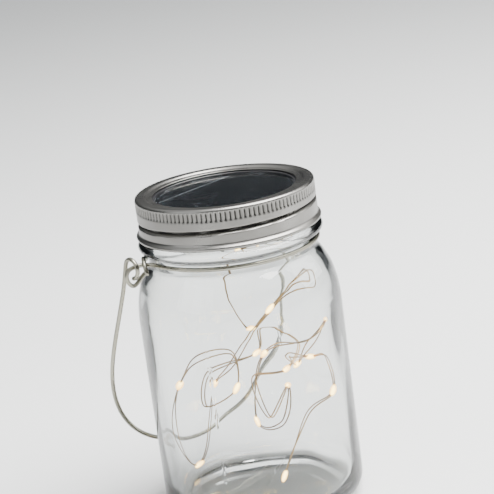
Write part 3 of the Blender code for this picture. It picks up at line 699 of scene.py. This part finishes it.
# tinned ribbon that lies on the joint of the cells, under the clear sheet
def makeCellLine():
    heading = math.radians(cellLine["heading"])
    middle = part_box("solar_cell_large")[1][2] + cellLine["above"] + cellLine["thickness"] / 2
    spot = (cellLine["offset"] * math.cos(heading), cellLine["offset"] * math.sin(heading), middle)
    bpy.ops.mesh.primitive_cube_add(size=1, location=spot, rotation=(0, 0, heading))
    ribbon = bpy.context.object
    ribbon.name = "cellRibbon"
    ribbon.scale = (cellLine["width"], cellLine["length"], cellLine["thickness"])
    bpy.ops.object.transform_apply()
    bpy.ops.object.mode_set(mode="EDIT")
    bpy.ops.mesh.bevel(offset=cellLine["bevel"], segments=2)
    bpy.ops.object.mode_set(mode="OBJECT")
    ribbon.data.materials.append(looks["panel_board"])
    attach(ribbon, "lid_insert")


makeCellLine()
print("solar cells' line made")


# glass jar
jarSizes = {
    "segments": 144,
    "lip": 0.0334,
    "mouth": 0.0302,
    "neck": 0.0343,
    "bead": 0.0377,
    "body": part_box("glass_jar")[1][0],
    "wall": 0.0030,
    "base": 0.0050,
    "heel": 0.0075,
    "beadDrop": 0.0149,     # lip to the bead's widest line
    "shoulderDrop": 0.0232,
    "shoulder": 0.0220,     # height of the shoulder
    "threadDepth": 0.0014,
    "threadHalf": 0.0015,
    "threadLow": 0.0097,    # below the lip
    "threadHigh": 0.0027,
    "threadRun": 0.0012,
    "smoothBelow": math.radians(50),
    "wave": 0.00016,        # unevenness of the inner wall
    "waveFrom": 0.030,      # farther out than this
    "waveLow": 0.012,
    "waveDrop": 0.010,      # below the shoulder
    "waveRun": 0.008,
    "waves": (              # share, waves round the jar, height of one radian, phase
        (1.0, 3, 0.017, 0.0),
        (0.7, 7, -0.011, 1.3),
        (0.5, 13, 0.023, 0.4),
    ),
    "outerShoulder": (      # share of the way from neck to body, share of the shoulder's height
        (0.06, 0.02), (0.24, 0.10), (0.43, 0.21), (0.66, 0.37), (0.83, 0.57), (0.94, 0.78),
    ),
    "innerShoulder": (      # share of the way from body to mouth, share of the shoulder's height
        (0.10, 0.70), (0.28, 0.44), (0.58, 0.20), (0.88, -0.02),
    ),
}
outlineSamples = 901


# a smooth outline through the points, with rings about a step apart
def roundedLine(points, step):
    line, _, length = smoothLine([Vector((r, z, 0)) for r, z in points], outlineSamples)
    total = max(4, int(length / step))
    picks = np.linspace(0, len(line) - 1, total).astype(int)
    return [(float(line[i][0]), float(line[i][1])) for i in picks]


def jarOutline():
    s = jarSizes
    bead, shoulder = lipTop - s["beadDrop"], lipTop - s["shoulderDrop"]
    bodyTop = shoulder - s["shoulder"]
    reach = s["body"] - s["neck"]
    inner = s["body"] - s["wall"]
    innerReach = inner - s["mouth"]
    inside = [
        (0.002, s["base"]), (inner - 0.6 * s["heel"], s["base"] + 0.1 * mm),
        (inner - 0.15 * s["heel"], s["base"] + 0.35 * s["heel"]), (inner, s["base"] + s["heel"]),
    ]
    upper = [
        (inner, bodyTop),
        *((inner - share * innerReach, shoulder - drop * s["shoulder"])
          for share, drop in s["innerShoulder"]),
        (s["mouth"], shoulder + 0.20 * s["shoulder"]),
    ]
    outline = [inside[0]] + roundedLine(inside[1:], 1.2 * mm)
    outline += evenRows(inner, s["base"] + s["heel"], bodyTop, 4 * mm)[1:-1]
    outline += roundedLine(upper, 1.5 * mm)
    outline += evenRows(s["mouth"], shoulder + 0.25 * s["shoulder"], lipTop - 1 * mm, 3 * mm)
    outline += arcPoints((s["mouth"] + 0.8 * mm, lipTop - 0.8 * mm), 0.8 * mm, 180, 90, 5)
    outline += arcPoints((s["lip"] - 0.8 * mm, lipTop - 0.8 * mm), 0.8 * mm, 90, 0, 5)
    outline += evenRows(s["lip"] + 0.4 * mm, lipTop - 1.5 * mm, lipTop - 10.9 * mm, 0.4 * mm)
    outline += roundedLine([
        (s["lip"] + 0.5 * mm, bead + 3.7 * mm), (s["lip"] + 1.4 * mm, bead + 3.0 * mm),
        (s["bead"] - 1.2 * mm, bead + 1.9 * mm), (s["bead"] - 0.2 * mm, bead + 0.8 * mm), (s["bead"], bead),
        (s["bead"] - 0.4 * mm, bead - 1.2 * mm), (s["neck"] + 1.2 * mm, bead - 2.4 * mm),
        (s["neck"], bead - 3.3 * mm)], 0.5 * mm)
    outline += evenRows(s["neck"], bead - 4.2 * mm, shoulder + 1.2 * mm, 1 * mm)
    outline += roundedLine([
        (s["neck"], shoulder + 0.7 * mm),
        *((s["neck"] + share * reach, shoulder - drop * s["shoulder"])
          for share, drop in s["outerShoulder"]),
        (s["body"], bodyTop)], 1.2 * mm)
    outline += evenRows(s["body"], bodyTop - 2 * mm, s["heel"] + 2 * mm, 4 * mm)
    outline += arcPoints((s["body"] - s["heel"], s["heel"]), s["heel"], 0, -90, 12)
    outline += [(0.002, 0.0)]
    return outline


def jarShape(angle, radius, height):
    s = jarSizes
    low, high = lipTop - s["threadLow"], lipTop - s["threadHigh"]
    crest = helixRidge(angle, height, threadSizes["pitch"] / 2, s["threadHalf"])
    crest = crest * fadeBetween(height, low, high, s["threadRun"])
    thread = np.where(radius > s["mouth"] + 1 * mm, s["threadDepth"] * crest, 0)
    shoulder = lipTop - s["shoulderDrop"]
    innerWall = (radius > s["waveFrom"]) & (radius < s["body"] - s["wall"] + 0.4 * mm)
    innerWall &= (height > s["base"] + 2 * mm) & (height < shoulder)
    wave = sum(share * np.sin(turns * angle + height / run + phase)
               for share, turns, run, phase in s["waves"])
    wave *= s["wave"] * fadeBetween(height, s["waveLow"], shoulder - s["waveDrop"], s["waveRun"])
    return thread + np.where(innerWall, wave, 0)


def makeJar():
    jar = ringShell("jarGlass", jarOutline(), jarSizes["segments"], False)
    moveRadii(jar, jarShape)
    selectOnly(jar)
    bpy.ops.object.shade_smooth_by_angle(angle=jarSizes["smoothBelow"])
    jar.data.materials.append(looks["glass"])
    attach(jar, "jar")
    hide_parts("glass_jar")


makeJar()
print("glass jar made")


# screw band
def bandOutline():
    s = bandSizes
    top, opening, sheet = lidTop, s["opening"], s["sheet"]
    ledge = top - s["ledge"]
    curlMiddle = top - s["height"] + 1 * mm
    stepIn, stepOut = opening + 2.5 * mm, opening + 3.6 * mm
    outline = arcPoints((opening + 0.3 * mm, ledge - 0.25 * mm), 0.25 * mm, 180, 90, 5)
    outline += [(stepIn - 0.2 * mm, ledge), (stepIn, ledge + 0.04 * mm)]
    outline += [(stepIn + 0.35 * mm, top - 0.40 * mm), (stepOut - 0.3 * mm, top - 0.06 * mm), (stepOut, top)]
    outline += [(stepOut + 0.2 * mm, top), (s["radius"] - s["corner"] - 0.25 * mm, top)]
    outline += arcPoints((s["radius"] - s["corner"], top - s["corner"]), s["corner"], 90, 0, 7)
    outline += evenRows(s["radius"], top - s["ribTop"], top - s["ribBottom"] - 0.2 * mm, 0.3 * mm)
    outline += evenRows(s["radius"], top - 5.6 * mm, top - s["grooveBottom"] - 1.6 * mm, 0.28 * mm)
    outline += arcPoints((s["curl"] - s["curlRound"], curlMiddle), s["curlRound"], 75, -115, 9)
    inner = s["radius"] - sheet
    outline += [(inner - 0.1 * mm, curlMiddle - 0.5 * mm)]
    outline += evenRows(inner, top - s["grooveBottom"] - 1.6 * mm, top - 5.6 * mm, 0.42 * mm)
    outline += evenRows(inner, top - s["ribBottom"] - 0.2 * mm, top - s["ribTop"], 0.6 * mm)
    outline += arcPoints((s["radius"] - s["corner"], top - s["corner"]), s["corner"] - sheet, 0, 90, 4)
    outline += [(stepOut, top - sheet), (stepIn + 0.2 * mm, ledge - sheet)]
    outline += [(opening + 0.3 * mm, ledge - sheet)]
    return outline


def bandShape(angle, radius, height):
    s = bandSizes
    low, high = lidTop - s["grooveBottom"], lidTop - s["grooveTop"]
    run = s["grooveHalf"]
    wall = radius > s["wallFrom"]
    groove = helixRidge(angle, height, 0, s["grooveHalf"]) * fadeBetween(height, low + run, high - run, run)
    move = np.where(wall, -s["groove"] * groove, 0)
    ribs = (0.5 - 0.5 * np.cos(s["ribs"] * angle)) ** s["ribPower"]
    ribLow, ribHigh = lidTop - s["ribBottom"] + 0.4 * mm, lidTop - s["ribTop"] - 0.4 * mm
    reach = fadeBetween(height, ribLow, ribHigh, 0.6 * mm)
    outer = radius > s["radius"] - s["skin"]
    return move + np.where(outer, -s["ribDepth"] * ribs * reach, 0)


def makeBand():
    band = ringShell("rolledBand", bandOutline(), bandSizes["segments"], True)
    moveRadii(band, bandShape)
    selectOnly(band)
    bpy.ops.object.shade_smooth_by_angle(angle=bandSizes["smoothBelow"])
    band.data.materials.append(looks["band_steel"])
    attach(band, "band")
    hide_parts("screw_band")


makeBand()
print("screw band made")


# wires: the solids' own runs, rounded off
wireSizes = {
    "merge": 0.000001,
    "flattest": math.radians(60),   # triangles that meet flatter than this become quads
    "grow": 0.00024,                # makes up for the rounding
    "levels": 2,
}


def makeWire(name, node, body):
    source = frame["nodes"][node]
    wire = source.copy()
    wire.data = source.data.copy()
    for key in list(wire.keys()):
        del wire[key]
    wire.name = name
    bpy.context.collection.objects.link(wire)
    wire.parent = None
    selectOnly(wire)
    bpy.ops.object.mode_set(mode="EDIT")
    bpy.ops.mesh.select_all(action="SELECT")
    bpy.ops.mesh.remove_doubles(threshold=wireSizes["merge"])
    flattest = wireSizes["flattest"]
    bpy.ops.mesh.tris_convert_to_quads(face_threshold=flattest, shape_threshold=flattest)
    bpy.ops.transform.shrink_fatten(value=wireSizes["grow"])
    bpy.ops.object.mode_set(mode="OBJECT")
    rounder = wire.modifiers.new("rounder", "SUBSURF")
    rounder.levels = wireSizes["levels"]
    rounder.render_levels = wireSizes["levels"]
    bpy.ops.object.modifier_apply(modifier="rounder")
    bpy.ops.object.shade_smooth()
    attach(wire, body)
    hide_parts(node)


makeWire("neckWire", "neck_wire", "jar")
makeWire("handleWire", "bail_handle", "handle")
print("wires made")


# floor, light and world
studio = {
    "floorSize": 14.0,
    "floorDrop": 0.0004,
    "floorColor": (0.80, 0.81, 0.81),
    "floorRoughness": 0.6,
    "floorGrainScale": 300.0,
    "floorGrain": 0.1,
    "worldLow": (0.06, 0.065, 0.07),
    "worldHigh": (0.90, 0.925, 0.935),
    "worldStrength": 1.05,
    "worldRise": (0.38, 0.80),          # height of a direction where the sky starts and ends brightening
    "paintedCardDark": (0.03, 0.032, 0.033),  # painted dark that stands in for black cards, for what the thick edges of the glass bend into view
    "edgePasses": 2.0,                  # it shows on light paths with about this many passes through glass
    "edgeSpan": 1.1,                    # and with this many more or fewer
    "mirrorShare": 0.2,                 # painted reflection: how far the floor goes to that colour in mirror images
}
studioLights = {
    "overhead": {"spot": (0.42, -0.05, 1.05), "target": (0.1, 0.05, 0), "size": 0.9, "power": 56,
                 "color": (1.0, 0.99, 0.975)},
    "rightSoft": {"spot": (1.5, 0.4, 0.9), "target": (0.05, 0.3, 0.05), "size": 1.3, "power": 16,
                  "color": (1.0, 0.99, 0.97)},
    "leftSoft": {"spot": (-1.1, -0.7, 0.7), "target": (0, 0, 0.1), "size": 1.0, "power": 5,
                 "color": (0.96, 0.98, 1.0)},
}


def makeFloor():
    bpy.ops.mesh.primitive_plane_add(size=studio["floorSize"], location=(0, 0, -studio["floorDrop"]))
    floor = bpy.context.object
    floor.name = "paleFloor"
    material, tree, shader = newMaterial("paleFloor", studio["floorColor"], studio["floorRoughness"])
    surface = useGroup(tree, fineGrain, Scale=studio["floorGrainScale"], Amount=studio["floorGrain"])
    gloss = calc(tree, "ADD", surface.outputs["Change"], studio["floorRoughness"])
    tree.links.new(gloss, shader.inputs["Roughness"])
    path = addNode(tree, "ShaderNodeLightPath")
    # painted reflection of black cards: seen only through the edge of a wall the floor is dark, as black
    # cards beside the jar would make it
    passes = path.outputs["Transmission Depth"]
    edge = calc(tree, "COMPARE", passes, studio["edgePasses"], studio["edgeSpan"])
    mirrored = calc(tree, "MULTIPLY", path.outputs["Is Glossy Ray"], studio["mirrorShare"])
    tint(tree, shader, calc(tree, "MAXIMUM", edge, mirrored), studio["floorColor"], studio["paintedCardDark"])
    floor.data.materials.append(material)


def areaLight(name, spot, target, size, power, color):
    bpy.ops.object.light_add(type="AREA", location=spot)
    light = bpy.context.object
    light.name = name
    light.data.size = size
    light.data.energy = power
    light.data.color = color
    light.rotation_euler = (Vector(target) - Vector(spot)).to_track_quat("-Z", "Y").to_euler()


def makeWorld():
    world = bpy.data.worlds.new("softSky")
    bpy.context.scene.world = world
    world.use_nodes = True
    tree = world.node_tree
    backdrop = tree.nodes["Background"]
    place = addNode(tree, "ShaderNodeTexCoord")
    split = addNode(tree, "ShaderNodeSeparateXYZ")
    tree.links.new(place.outputs["Generated"], split.inputs[0])
    rise = addNode(tree, "ShaderNodeMapRange")
    rise.inputs["From Min"].default_value = studio["worldRise"][0]
    rise.inputs["From Max"].default_value = studio["worldRise"][1]
    tree.links.new(split.outputs["Z"], rise.inputs["Value"])
    mix = addNode(tree, "ShaderNodeMix", data_type="RGBA")
    mix.inputs[6].default_value = (*studio["worldLow"], 1)
    mix.inputs[7].default_value = (*studio["worldHigh"], 1)
    tree.links.new(rise.outputs["Result"], mix.inputs["Factor"])
    tree.links.new(mix.outputs[2], backdrop.inputs["Color"])
    backdrop.inputs["Strength"].default_value = studio["worldStrength"]


makeFloor()
makeWorld()
for name, light in studioLights.items():
    areaLight(name, **light)
print("studio lit")
